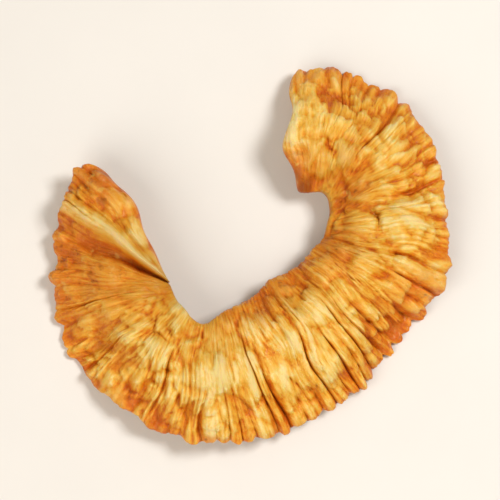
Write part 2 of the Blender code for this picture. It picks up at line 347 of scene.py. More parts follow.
@dataclass
class BundleFan:
    """The fibre bundles round the ring: the angle where each starts, and its own sizes.

    A spread holds the least and the largest share of its size that a bundle may draw, and
    groove_starts how near the core and how far out a groove may start. The edges between bundles
    swing by degrees, those at the cut ends swing more, and their corners are rounded.
    """

    count: int = 60
    seed: int = 7
    width_spread: Pair = (0.6, 1.4)
    crown_height: float = 0.35 * MM
    crown_spread: Pair = (0.4, 1.5)
    groove_depth: float = 0.8 * MM
    groove_spread: Pair = (0.35, 1.4)
    groove_starts: Pair = (0.2, 0.65)
    groove_rise: float = 0.4
    scallop_length: float = 0.7 * MM
    scallop_spread: Pair = (-0.6, 1.0)
    slit_depth: float = 1.8 * MM
    slit_slope_outside: float = 0.12
    slit_slope_inside: float = 0.06
    swing: float = 1.7
    swings: float = 1.9
    swing_pattern: float = 5.0
    cut_swing: float = 7.0
    cut_swings: float = 2.6
    cut_pattern: float = 71.5
    cut_corner: float = 4.5
    cut_reach: float = 7.0
    angle: np.ndarray = field(init=False)
    crown: np.ndarray = field(init=False)
    groove: np.ndarray = field(init=False)
    scallop: np.ndarray = field(init=False)
    groove_from: np.ndarray = field(init=False)
    slits: list[Slit | None] = field(init=False)

    def __post_init__(self) -> None:
        """Draws the bundles, and gives each slit to the bundle edge nearest to it."""
        rng = random.Random(self.seed)
        widths = [rng.uniform(*self.width_spread) for _ in range(self.count)]
        scale = (LAST_ANGLE - FIRST_ANGLE) / sum(widths)
        starts = [FIRST_ANGLE + scale * sum(widths[:i]) for i in range(self.count + 1)]
        drawn = []
        for _ in starts:
            crown = self.crown_height * rng.uniform(*self.crown_spread)
            groove = self.groove_depth * rng.uniform(*self.groove_spread)
            scallop = self.scallop_length * rng.uniform(*self.scallop_spread)
            drawn.append((crown, groove, scallop, rng.uniform(*self.groove_starts)))
        self.angle = np.array(starts)
        self.crown, self.groove, self.scallop, self.groove_from = np.array(drawn).T
        self.slits = [None] * len(starts)
        for slit in SLITS:
            self.slits[int(np.argmin(np.abs(self.angle - slit.angle)))] = slit

    def angle_at(self, edge: np.ndarray, along: np.ndarray) -> np.ndarray:
        """Where the edges between bundles run, as they swing from side to side.

        Args:
            edge: The edges, by their numbers.
            along: How far along each edge the place is.

        Returns:
            The angle of each edge there.
        """
        start = self.angle[edge]
        bulge = np.maximum(0.0, np.sin(math.pi * np.clip(along, 0.0, 1.0)))
        turn = self.swing * noise_field(start, along * self.swings, self.swing_pattern) * bulge
        for end, inwards in ((FIRST_ANGLE, 1.0), (LAST_ANGLE, -1.0)):
            ragged = self.cut_swing * noise_field(end, along * self.cut_swings, self.cut_pattern)
            corner = inwards * self.cut_corner * (1.0 - np.sqrt(bulge))
            turn += (ragged * bulge + corner) * np.exp(-np.abs(start - end) / self.cut_reach)
        return start + turn

    def grooves(self, edge: np.ndarray, along: np.ndarray) -> tuple[np.ndarray, np.ndarray]:
        """How deep the edges between bundles are.

        Args:
            edge: The edge nearest to each place, by its number.
            along: How far along its fibre each place is.

        Returns:
            The depth of the groove, and the depth that a slit adds to it.
        """
        start = self.groove_from[edge]
        groove = self.groove[edge] * smooth_step(start, start + self.groove_rise, along)
        split = np.zeros_like(groove)
        outside, inside = self.slit_slope_outside, self.slit_slope_inside
        for number, slit in enumerate(self.slits):
            if slit is not None:
                opens = smooth_step(slit.start - outside, slit.start + inside, along)
                closes = smooth_step(slit.end + outside, slit.end - inside, along)
                depth = self.slit_depth * slit.depth
                split += np.where(edge == number, depth * opens * closes, 0.0)
        return groove, split


@dataclass
class SliceForm:
    """The rule that gives the slice its shape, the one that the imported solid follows.

    Its sizes are the solid's, apart from the step over which a slope is measured. A fade holds
    how far along a fibre a relief is gone and how far along it is still whole, and ruffled_rim
    the heights of the rim, in millimetres, between which the ruffle grows. A pitch is in degrees
    round the ring, and what is counted along is to the length of a fibre.
    """

    core_x: float = -0.6 * MM
    core_y: float = 2.1 * MM
    flesh_thickness: float = 3.7 * MM
    rim_thickness: float = 2.2 * MM
    thinning_from: float = 0.35
    thinnest_flesh: float = 0.7 * MM
    foot_thickness: float = 1.1 * MM
    full_bundle: float = 2.4 * MM
    fold_growth: Pair = (-0.2, 0.3)
    fold_loss_at_rim: float = 0.5
    ruffle_height: float = 2.2 * MM
    ruffle_pitch: float = 7.5
    ruffles_along: float = 0.8
    ruffle_pattern: float = 3.0
    ruffled_rim: Pair = (0.6, 3.0)
    lump_height: float = 1.8 * MM
    lump_size: float = 5.5 * MM
    lump_fade: Pair = (1.1, 0.7)
    warp_height: float = 2.4 * MM
    warp_size: float = 15.0 * MM
    warp_fade: Pair = (1.1, 0.6)
    pillow_height: float = 1.3 * MM
    pillow_size: float = 4.4 * MM
    pillow_shoulder: float = 0.7
    pillow_middle: float = 0.5
    pillow_pattern: float = 7.0
    crease_drift: float = 0.5
    crease_drifts: float = 1.3
    crease_drift_pattern: float = 2.0
    wander: float = 3.4
    wander_pitch: float = 11.0
    wanders_along: float = 2.2
    wander_pattern: float = 9.0
    step: float = 0.075
    shortest: float = 0.001 * MM

    def fibres_at(self, angle: np.ndarray) -> Fibre:
        """The fibres that meet the rim at given angles, on smooth curves through FIBRES.

        Args:
            angle: The angles at the rim.

        Returns:
            One Fibre whose fields are arrays.
        """
        table = np.array([astuple(fibre) for fibre in FIBRES])
        last = len(table) - 1
        i = np.clip(np.searchsorted(table[:, 0], angle), 1, last)
        before, here, there = table[np.maximum(0, i - 2)], table[i - 1], table[i]
        after = table[np.minimum(last, i + 1)]
        span = there[..., :1] - here[..., :1]
        t = (angle[..., None] - here[..., :1]) / span
        slope_here = (there - before) / (there[..., :1] - before[..., :1]) * span
        slope_there = (after - here) / (after[..., :1] - here[..., :1]) * span
        values = (
            (2 * t**3 - 3 * t**2 + 1) * here
            + (t**3 - 2 * t**2 + t) * slope_here
            + (3 * t**2 - 2 * t**3) * there
            + (t**3 - t**2) * slope_there
        )
        return Fibre(angle, *np.moveaxis(values, -1, 0)[1:])

    def in_plan(self, angle: np.ndarray, along: np.ndarray) -> np.ndarray:
        """The points in plan that are a share of the way along fibres, which wander a little.

        Args:
            angle: The fibre of each place.
            along: How far along its fibre each place is.

        Returns:
            The x and y of each place from the core's centre, in a last axis of two.
        """
        waves = (angle / self.wander_pitch, along * self.wanders_along, self.wander_pattern)
        drift = self.wander * noise_field(*waves)
        angle = angle + drift * np.sin(math.pi * np.clip(along, 0.0, 1.0))
        fibre = self.fibres_at(angle)
        inner_turn, outer_turn = np.radians(fibre.inner_angle), np.radians(angle)
        start = np.stack((np.cos(inner_turn), np.sin(inner_turn)), -1) * fibre.inner[..., None]
        end = np.stack((np.cos(outer_turn), np.sin(outer_turn)), -1) * fibre.outer[..., None]
        return (start + (end - start) * along[..., None]) * MM

    def height(self, angle: np.ndarray, along: np.ndarray, plan: np.ndarray) -> np.ndarray:
        """The height of the slab's middle surface.

        Args:
            angle: The fibre of each place.
            along: How far along its fibre each place is.
            plan: Where each place is in plan.

        Returns:
            The height of each place above the floor.
        """
        fibre = self.fibres_at(angle)
        inside = np.sin(0.5 * math.pi * np.minimum(1.0, along / fibre.crest_at))
        beyond = np.maximum(0.0, (along - fibre.crest_at) / (1.0 - fibre.crest_at))
        outside = np.cos(0.5 * math.pi * beyond)
        height = np.where(
            along < fibre.crest_at,
            fibre.inner_up + (fibre.crest_up - fibre.inner_up) * inside,
            fibre.rim_up + (fibre.crest_up - fibre.rim_up) * outside,
        ) * MM
        folded = smooth_step(*self.fold_growth, along) * (1.0 - self.fold_loss_at_rim * along)
        for fold in FOLDS:
            height += fold.height * np.exp(-(((angle - fold.angle) / fold.width) ** 2)) * folded
        for crease in CREASES:
            height -= self.crease_depth(crease, plan)
        waves = (angle / self.ruffle_pitch, along * self.ruffles_along, self.ruffle_pattern)
        ruffle = noise_field(*waves) * along**2 * smooth_step(*self.ruffled_rim, fibre.rim_up)
        lumps = noise_in_plan(plan, self.lump_size) * smooth_step(*self.lump_fade, along)
        warp = noise_in_plan(plan, self.warp_size) * smooth_step(*self.warp_fade, along)
        height += self.ruffle_height * ruffle + self.lump_height * lumps + self.warp_height * warp
        return height

    def crease_depth(self, crease: Crease, plan: np.ndarray) -> np.ndarray:
        """How far a crease sinks the flesh.

        Args:
            crease: The crease.
            plan: Where each place is in plan.

        Returns:
            The depth at each place, below 0 where the crease is a ridge.
        """
        angles = np.array([crease.angle, crease.to_angle])
        start, end = self.in_plan(angles, np.array([crease.along, crease.to_along]))
        way = end - start
        length = max(float(way @ way), self.shortest**2)
        share = np.clip((plan - start) @ way / length, 0.0, 1.0)
        apart = np.linalg.norm(plan - start - share[..., None] * way, axis=-1) / crease.radius
        return crease.depth * np.exp(-apart * apart)

    def from_crease(self, plan: np.ndarray, size: float, pattern: float) -> np.ndarray:
        """How far places are from the creases between pillows of flesh.

        Args:
            plan: Where each place is in plan, in metres.
            size: The pillows' width, in metres.
            pattern: Picks one of many patterns.

        Returns:
            0 in a crease, rising to about 1 on top of a pillow.
        """
        x, y = plan[..., 0] / size, plan[..., 1] / size
        turns, drift_pattern = self.crease_drifts, pattern + self.crease_drift_pattern
        drift = self.crease_drift * noise_field(turns * x, turns * y, drift_pattern)
        places = zip((x + drift).ravel().tolist(), (y - drift).ravel().tolist())
        nearest = [noise.voronoi((a, b, pattern))[0][:2] for a, b in places]
        first, second = np.array(nearest).T
        return (second - first).reshape(x.shape)

    def middle(self, angle: np.ndarray, along: np.ndarray) -> np.ndarray:
        """The points of the slab's middle surface, from the core's centre."""
        plan = self.in_plan(angle, along)
        return np.concatenate((plan, self.height(angle, along, plan)[..., None]), -1)

    def up_and_out(self, angle: np.ndarray, along: np.ndarray) -> tuple[np.ndarray, np.ndarray]:
        """The directions in which the slab has its thickness and its length.

        Args:
            angle: The fibre of each place.
            along: How far along its fibre each place is.

        Returns:
            The slab's upward normal within the fibre's own upright plane, and the way out to the
            rim in plan, both as unit vectors.
        """
        run = self.middle(angle, along + self.step) - self.middle(angle, along - self.step)
        length = np.linalg.norm(run, axis=-1, keepdims=True)
        out = run.copy()
        out[..., 2] = 0.0
        flat = np.linalg.norm(out, axis=-1, keepdims=True)
        out /= flat
        up = -out * run[..., 2:] / length
        up[..., 2:] = flat / length
        return up, out


@dataclass
class SlabGrid:
    """The grid that both faces are bent from, and what each of its places has, worked out once.

    A column of places follows a fibre from the core hole to the rim, and the rows lie closer
    together at both. There the slab is rounded off over a share of a fibre's length, and at the
    cut ends over so many bundles.

    Each place has the angle and measures of its fibre and how far along it is, the number of its
    bundle and of the nearest edge between bundles, and how far it is from such an edge (bow, 1
    in the middle). It has a point on the slab's middle surface (centre), the directions up and
    out, and its distances round the ring and from the core (across, reach). Fullness, stringy,
    pillowed and rounding are the shares that it has of a bundle's full width, of the strands, of
    the pillows and of the full thickness, and from_crease is 0 in a crease between pillows.
    """

    form: SliceForm = field(default_factory=SliceForm)
    fan: BundleFan = field(default_factory=BundleFan)
    columns_per_bundle: int = 16
    rows: int = 48
    row_crowding: float = 0.5
    edge_rounding: float = 0.05
    end_rounding: float = 1.1
    thinnest_edge: float = 0.16
    least_stringy: float = 0.45
    inland_from: float = 0.15
    rim_radius: float = 35.0 * MM
    fibre_length: float = 22.0 * MM
    along: np.ndarray = field(init=False)
    angle: np.ndarray = field(init=False)
    bow: np.ndarray = field(init=False)
    edge: np.ndarray = field(init=False)
    bundle: np.ndarray = field(init=False)
    centre: np.ndarray = field(init=False)
    up: np.ndarray = field(init=False)
    out: np.ndarray = field(init=False)
    across: np.ndarray = field(init=False)
    reach: np.ndarray = field(init=False)
    fibre: Fibre = field(init=False)
    fullness: np.ndarray = field(init=False)
    stringy: np.ndarray = field(init=False)
    pillowed: np.ndarray = field(init=False)
    from_crease: np.ndarray = field(init=False)
    full_thickness: np.ndarray = field(init=False)
    rounding: np.ndarray = field(init=False)

    @property
    def columns(self) -> int:
        """How many steps the grid has from one cut end to the other."""
        return self.fan.count * self.columns_per_bundle

    @property
    def plan(self) -> np.ndarray:
        """Where each place is in plan, from the core's centre."""
        return self.centre[..., :2]

    def __post_init__(self) -> None:
        """Works out the places' fibres, directions, bundles and thickness."""
        form, fan = self.form, self.fan
        around = np.arange(self.columns + 1) / self.columns_per_bundle
        index = np.minimum(fan.count - 1, around.astype(int))
        part = around - index
        even = np.arange(self.rows + 1) / self.rows
        crowded = 0.5 * (1.0 - np.cos(math.pi * even))
        even = (1.0 - self.row_crowding) * even + self.row_crowding * crowded
        number, self.along = np.meshgrid(index, even, indexing="ij")
        starts, ends = (fan.angle_at(number + side, self.along) for side in (0, 1))
        self.angle = starts + (ends - starts) * part[:, None]
        self.bow = np.sin(math.pi * part)[:, None] + np.zeros_like(self.along)
        self.edge = np.where(part < 0.5, index, index + 1)[:, None] + np.zeros_like(number)
        self.bundle = number
        self.centre = form.middle(self.angle, self.along)
        self.up, self.out = form.up_and_out(self.angle, self.along)
        self.across = np.radians(self.angle) * self.rim_radius
        self.reach = self.along * self.fibre_length
        self.fibre = form.fibres_at(self.angle)

        sides = form.in_plan(ends, self.along) - form.in_plan(starts, self.along)
        self.fullness = np.minimum(1.0, np.linalg.norm(sides, axis=-1) / form.full_bundle)
        ribbed = (1.0 - self.least_stringy) * np.clip(self.fibre.ribs, 0.0, 1.0)
        self.stringy = self.fullness * (self.least_stringy + ribbed)
        inland = smooth_step(0.0, self.inland_from, self.along)
        inland *= smooth_step(1.0, 1.0 - self.inland_from, self.along)
        self.pillowed = inland * self.fibre.pillows
        self.from_crease = form.from_crease(self.plan, form.pillow_size, form.pillow_pattern)

        thin = smooth_step(form.thinning_from, 1.0, self.along)
        lost = form.flesh_thickness - form.rim_thickness
        self.full_thickness = form.flesh_thickness - lost * thin
        to_edge = np.minimum(self.along, 1.0 - self.along) / self.edge_rounding
        to_end = np.minimum(around, fan.count - around)[:, None] / self.end_rounding
        self.rounding = self._rounded(to_edge) * self._rounded(to_end)

    def _rounded(self, depth: np.ndarray) -> np.ndarray:
        """The share of its thickness that the slab has near an edge, along a quarter circle."""
        circle = np.sqrt(1.0 - (1.0 - np.clip(depth, 0.0, 1.0)) ** 2)
        return self.thinnest_edge + (1.0 - self.thinnest_edge) * circle


@dataclass(frozen=True)
class Toning:
    """Where the flesh is browned and where it is pale, with uneven borders. Some brown patches are
    partly painted shade and some pale ones partly painted highlight.

    The unevenness has blotches of its own size. In each pair the first number is a tone's share,
    and the second is how much the unevenness, from -1 to 1, changes it.
    """

    blotch_width: float = 3.2 * MM
    blotch_length: float = 3.0 * MM
    pattern: float = 51.0
    rim_from: float = 0.90
    rim_swing: float = 0.10
    rim_share: Pair = (0.45, 0.5)
    brown_share: Pair = (0.8, 0.6)
    pale_share: Pair = (0.9, -0.5)
    # Browning may pass 1 so that the strongest patches take painted shade in the finish.
    most_brown: float = 1.6
    most_pale: float = 2.2

    def tones(self, grid: SlabGrid) -> tuple[np.ndarray, np.ndarray]:
        """How browned and how pale each place is, painted shade and painted highlight included.

        Args:
            grid: The places.

        Returns:
            The two tones, from 0 where there is none.
        """
        blotches = (grid.across / self.blotch_width, grid.reach / self.blotch_length)
        uneven = noise_field(*blotches, self.pattern)
        shares = (self.rim_share, self.brown_share, self.pale_share)
        rim_share, brown_share, pale_share = (share + swing * uneven for share, swing in shares)
        rim = smooth_step(self.rim_from, 1.0, grid.along + self.rim_swing * uneven) * rim_share
        brown = np.maximum(rim, self._strongest(BROWN_AND_SHADE_PATCHES, grid) * brown_share)
        pale = self._strongest(PALE_AND_HIGHLIGHT_PATCHES, grid) * pale_share
        return np.clip(brown, 0.0, self.most_brown), np.clip(pale, 0.0, self.most_pale)

    def _strongest(self, patches: Sequence[Patch], grid: SlabGrid) -> np.ndarray:
        """The most that any one patch gives each place."""
        return np.max([patch.share(grid.angle, grid.along) for patch in patches], axis=0)


@dataclass(frozen=True)
class FleshColours:
    """The tones of the dried flesh, as linear colours from its grooves to its brightest ridges."""

    # Groove end of the ramp: partly painted shade, since the relief tone sends grooves and hollows
    # here.
    groove: Triple = (0.60, 0.115, 0.002)
    amber: Triple = (0.78, 0.260, 0.006)
    golden: Triple = (0.87, 0.445, 0.040)
    yellow: Triple = (0.92, 0.595, 0.125)
    # Cream end of the ramp: partly painted highlight, since the relief tone sends ridge tops here.
    cream: Triple = (0.97, 0.735, 0.30)
    brown: Triple = (0.76, 0.20, 0.005)
    # Dark brown: crust specks, and painted shade on the strongest browned patches.
    dark_brown: Triple = (0.26, 0.045, 0.003)


@dataclass(frozen=True)
class Rise:
    """A change of range in a finish: low becomes to_low, high becomes to_high."""

    low: float
    high: float
    to_low: float = 0.0
    to_high: float = 1.0


@dataclass(frozen=True)
class Grain:
    """A noise in a finish: how many bumps a unit of length holds, its finer layers and their share.

    The stretch is applied to the vector before it, for a noise that is drawn out along fibres.
    """

    scale: float
    detail: float = 3.0
    rough: float = 0.55
    stretch: Triple | None = None


class NodeBench:
    """A material and the short ways to put nodes in it."""

    def __init__(self, name: str) -> None:
        """Starts a material whose only nodes are its shader and its output.

        Args:
            name: The material's name.
        """
        self.material = bpy.data.materials.new(name)
        self.material.use_nodes = True
        self.tree = self.material.node_tree
        self.shader = self.tree.nodes["Principled BSDF"]

    def node(self, kind: str, **settings: object) -> bpy.types.Node:
        """A new node.

        Args:
            kind: The node's type, without its ShaderNode prefix.
            settings: The values of the node's own properties.

        Returns:
            The node.
        """
        made = self.tree.nodes.new("ShaderNode" + kind)
        for name, value in settings.items():
            setattr(made, name, value)
        return made

    def feed(self, socket: Socket, source: Source) -> None:
        """Links a socket to another, or sets its value.

        Args:
            socket: The socket.
            source: The other socket, or the value.
        """
        if isinstance(source, Socket):
            self.tree.links.new(source, socket)
        else:
            socket.default_value = source

    def shade(self, looks: dict[str, Source]) -> None:
        """Feeds the shader's sockets, by their names."""
        for name, source in looks.items():
            self.feed(self.shader.inputs[name], source)

    def attribute(self, name: str, output: str = "Fac") -> Socket:
        """The output of a node that reads one of the piece's own attributes."""
        return self.node("Attribute", attribute_name=name).outputs[output]

    def maths(self, operation: str, *values: Source) -> Socket:
        """The result of a sum.

        Args:
            operation: The Math node's operation.
            values: What it works on, in order.

        Returns:
            The result.
        """
        made = self.node("Math", operation=operation)
        for socket, value in zip(made.inputs, values):
            self.feed(socket, value)
        return made.outputs[0]

    def mapped(self, value: Source, rise: Rise) -> Socket:
        """A number moved from one range to another, and kept inside it.

        Args:
            value: The number.
            rise: The two ranges.

        Returns:
            The number in its new range.
        """
        made = self.node("MapRange", clamp=True)
        for socket, part in zip(made.inputs, (value, *astuple(rise))):
            self.feed(socket, part)
        return made.outputs[0]

    def stretched(self, vector: Socket, scale: Triple) -> Socket:
        """A vector scaled by its own factor on each axis.

        Args:
            vector: The vector.
            scale: The three factors.

        Returns:
            The scaled vector.
        """
        made = self.node("Mapping")
        self.feed(made.inputs["Vector"], vector)
        self.feed(made.inputs["Scale"], scale)
        return made.outputs[0]

    def noise(self, vector: Socket, grain: Grain, output: str = "Fac") -> Socket:
        """Noise over a vector.

        Args:
            vector: The vector, before the grain's own stretch.
            grain: How fine and how rough the noise is.
            output: Fac for one number at each place, or Color for three.

        Returns:
            The noise, from about 0 to 1.
        """
        if grain.stretch:
            vector = self.stretched(vector, grain.stretch)
        made = self.node("TexNoise")
        values = (vector, grain.scale, grain.detail, grain.rough)
        for name, value in zip(("Vector", "Scale", "Detail", "Roughness"), values):
            self.feed(made.inputs[name], value)
        return made.outputs[output]

    def ramp(self, value: Socket, stops: Sequence[tuple[float, Triple]]) -> Socket:
        """A colour that runs through stops.

        Args:
            value: The place on the ramp.
            stops: The place and colour of each stop, in order.

        Returns:
            The colour.
        """
        made = self.node("ValToRGB")
        self.feed(made.inputs[0], value)
        elements = made.color_ramp.elements
        for number, (place, colour) in enumerate((stops[0], stops[-1], *stops[1:-1])):
            stop = elements[number] if number < 2 else elements.new(place)
            stop.position = place
            stop.color = (*colour, 1.0)
        return made.outputs[0]

    def blend(self, share: Source, first: Source, second: Source) -> Socket:
        """A mix of two colours.

        Args:
            share: How much of the second colour there is.
            first: A colour or a socket.
            second: A colour or a socket.

        Returns:
            The mixed colour.
        """
        made = self.node("Mix", data_type="RGBA")
        self.feed(made.inputs[0], share)
        for socket, colour in ((made.inputs[6], first), (made.inputs[7], second)):
            self.feed(socket, (*colour, 1.0) if isinstance(colour, tuple) else colour)
        return made.outputs[2]


@dataclass(frozen=True)
class DriedFlesh:
    """The finish of dried pineapple: cream ridges, amber grooves, browned rim, a waxy gleam.

    Streaks, threads and scratches are read along the fibres, in millimetres, and the other
    grains in space, in metres. A share is how much something changes the tone, which runs from 0
    in the darkest groove to 1 on the brightest ridge. Through the relief attribute the grooves'
    amber is partly painted shade and the ridges' cream partly painted highlight.
    """

    colours: FleshColours = FleshColours()
    streaks: Grain = Grain(1.0, 5.0, 0.7, (1.0 / 0.6, 1.0 / 5.0, 1.0))
    threads: Grain = Grain(1.0, 2.0, 0.6)
    thread_stretch: Triple = (1.0 / 0.42, 1.0 / 6.0, 1.0)
    thread_waver: Grain = Grain(5.0, 2.0, 0.5, (0.3, 0.3, 1.0))
    waver_reach: Triple = (3.0, 3.0, 3.0)
    scratches: Grain = Grain(1.0, 4.0, 0.65, (3.6, 0.45, 1.0))
    patches: Grain = Grain(260.0)
    grains: Grain = Grain(2400.0, 4.0, 0.7)
    thread_areas: Grain = Grain(340.0, 2.0)
    crust: Grain = Grain(560.0, 2.0)

    middle_tone: float = 0.44
    noise_middle: float = 0.5
    relief_shade_share: float = 0.38
    streak_share: Rise = Rise(0.2, 1.0, 0.28, 0.42)
    patch_share: float = 0.42
    grain_share: float = 0.16
    thread_share: Rise = Rise(0.36, 0.64, 0.06, 0.28)
    bright_threads: Rise = Rise(0.54, 0.68)
    dark_threads: Rise = Rise(0.46, 0.32)
    pale_share: float = 0.20
    brown_share: float = -0.16
    stops: tuple[float, ...] = (0.02, 0.24, 0.50, 0.76, 0.97)

    brown_patches: Rise = Rise(0.30, 0.62, 0.45, 1.0)
    browning: Rise = Rise(0.0, 1.0, 0.0, 0.85)
    crusty: Rise = Rise(0.35, 0.9)
    dark_specks: Rise = Rise(0.60, 0.70, 0.0, 0.65)
    yellow_specks: Rise = Rise(0.41, 0.32, 0.0, 0.60)
    # Painted shade: browning past 0.9, chiefly the flap by the core at the top cut end, turns dark
    # brown; on rim patches it is partly real crust.
    crust_and_painted_shade: Rise = Rise(0.9, 1.6, 0.0, 0.6)

    grain_dullness: float = 0.4
    dullness: Rise = Rise(0.4, 1.1, 0.26, 0.56)
    specular: float = 0.30
    coat: float = 0.15
    coat_dullness: float = 0.24
    subsurface: float = 0.45
    subsurface_radius: Triple = (1.0, 0.45, 0.12)
    subsurface_scale: float = 0.45 * MM
    thread_bumps: float = 1.2
    grain_bumps: float = 0.45
    bump_height: float = 0.3 * MM

    def material(self) -> bpy.types.Material:
        """The flesh's material, which reads the piece's attributes.

        Returns:
            The material.
        """
        bench = FleshBench(self)
        bench.shade(
            {
                "Base Color": bench.colour(),
                "Roughness": bench.roughness(),
                "Normal": bench.bumps(),
                "Subsurface Weight": self.subsurface,
                "Subsurface Radius": self.subsurface_radius,
                "Subsurface Scale": self.subsurface_scale,
                "Specular IOR Level": self.specular,
                "Coat Weight": self.coat,
                "Coat Roughness": self.coat_dullness,
            }
        )
        return bench.material


class FleshBench(NodeBench):
    """The nodes of the dried flesh: the noises and attributes it reads, and what they make."""

    def __init__(self, finish: DriedFlesh) -> None:
        """Puts in the noises and attributes.

        Args:
            finish: The finish, for its sizes and shares.
        """
        super().__init__("dried_flesh_finish")
        self.finish = finish
        self.place = self.attribute("fibre_place", "Vector")
        self.spot = self.node("TexCoord").outputs["Object"]
        self.relief, self.brown, self.pale, self.stringy = (
            self.attribute(name) for name in ("relief", "brown", "pale", "stringy")
        )
        self.streaks = self.noise(self.place, finish.streaks)
        self.patches = self.noise(self.spot, finish.patches)
        self.grains = self.noise(self.spot, finish.grains)
        self.threads = self._wavering_threads()

    def _wavering_threads(self) -> Socket:
        """Fine threads that run along the fibres and waver.

        Returns:
            The threads, from about 0 to 1.
        """
        finish = self.finish
        straight = self.stretched(self.place, finish.thread_stretch)
        waver = self.noise(self.place, finish.thread_waver, "Color")
        bent = self.node("VectorMath", operation="ADD")
        for socket, source in zip(bent.inputs, (straight, self.stretched(waver, finish.waver_reach))):
            self.feed(socket, source)
        return self.noise(bent.outputs[0], finish.threads)

    def tone(self) -> Socket:
        """How bright the flesh is, before it is browned.

        Returns:
            The tone, from 0 in the darkest groove to 1 on the brightest ridge.
        """
        finish = self.finish
        # The relief attribute paints shade in grooves and hollows and highlight on ridges, partly the
        # flesh's own tone.
        tone = self.maths("MULTIPLY_ADD", self.relief, finish.relief_shade_share, finish.middle_tone)
        for noises, share in (
            (self.streaks, self.mapped(self.stringy, finish.streak_share)),
            (self.patches, finish.patch_share),
            (self.grains, finish.grain_share),
        ):
            swing = self.maths("SUBTRACT", noises, finish.noise_middle)
            tone = self.maths("MULTIPLY_ADD", swing, share, tone)
        bright = self.mapped(self.threads, finish.bright_threads)
        dark = self.mapped(self.threads, finish.dark_threads)
        lines = self.maths("SUBTRACT", bright, dark)
        areas = self.mapped(self.noise(self.spot, finish.thread_areas), finish.thread_share)
        for source, share in (
            (lines, self.maths("MULTIPLY", areas, self.stringy)),
            (self.pale, finish.pale_share),
            (self.brown, finish.brown_share),
        ):
            tone = self.maths("MULTIPLY_ADD", source, share, tone)
        return tone

    def colour(self) -> Socket:
        """The flesh's colour: its tone's, then browned, with specks where it is crusty, and dark
        painted shade where browning is strongest.

        Returns:
            The colour.
        """
        finish, shades = self.finish, self.finish.colours
        ramp = (shades.groove, shades.amber, shades.golden, shades.yellow, shades.cream)
        colour = self.ramp(self.tone(), tuple(zip(finish.stops, ramp)))
        patchy = self.mapped(self.patches, finish.brown_patches)
        browned = self.mapped(self.maths("MULTIPLY", self.brown, patchy), finish.browning)
        colour = self.blend(browned, colour, shades.brown)
        crusty = self.mapped(self.brown, finish.crusty)
        crust = self.noise(self.spot, finish.crust)
        for specks, shade in (
            (finish.dark_specks, shades.dark_brown),
            (finish.yellow_specks, shades.yellow),
        ):
            speckled = self.maths("MULTIPLY", self.mapped(crust, specks), crusty)
            colour = self.blend(speckled, colour, shade)
        # Painted shade where browning is strongest, chiefly the flap at the top cut end; partly real
        # crust on the rim.
        return self.blend(self.mapped(self.brown, finish.crust_and_painted_shade), colour, shades.dark_brown)

    def roughness(self) -> Socket:
        """How dull the flesh's gleam is, which differs from streak to streak."""
        uneven = self.maths("MULTIPLY_ADD", self.grains, self.finish.grain_dullness, self.streaks)
        return self.mapped(uneven, self.finish.dullness)

    def bumps(self) -> Socket:
        """The relief that is finer than the mesh: threads, scratches along them and grains.

        Returns:
            The bumped normal.
        """
        finish = self.finish
        scratches = self.noise(self.place, finish.scratches)
        height = self.maths("MULTIPLY_ADD", self.threads, finish.thread_bumps, scratches)
        height = self.maths("MULTIPLY_ADD", self.grains, finish.grain_bumps, height)
        bump = self.node("Bump")
        bump.inputs["Strength"].default_value = 1.0
        bump.inputs["Distance"].default_value = finish.bump_height
        self.feed(bump.inputs["Height"], height)
        return bump.outputs[0]


@dataclass(frozen=True)
class Wrinkle:
    """One kind of fine relief: its bumps' sizes, its height and how much paler its tops are painted,
    partly as painted highlight.

    The bumps are so many millimetres wide across the fibres and long along them. The pattern,
    added to the face's own, picks one of many, and the level is what is flush with the flesh.
    """

    wide: float
    long: float
    pattern: float
    height: float = 0.0
    paler_and_highlit: float = 0.0
    level: float = 0.0

    def waves(self, x: Values, y: Values, face: float) -> np.ndarray:
        """Smooth bumps at places in millimetres, from about -1 to 1 less their level."""
        return noise_field(x / self.wide, y / self.long, face + self.pattern) - self.level

    def ridges(self, x: np.ndarray, y: np.ndarray, face: float, drift: np.ndarray) -> np.ndarray:
        """Rounded strands along y.

        Args:
            x: Place across the fibres, in millimetres.
            y: Place along the fibres, in millimetres.
            face: The face's own pattern.
            drift: How far each place is off to the side, in strand widths.

        Returns:
            The height of each place, from 0 to about 1, less the level.
        """
        across = x / self.wide + drift
        return strands_field(across, y / self.long, face + self.pattern) - self.level


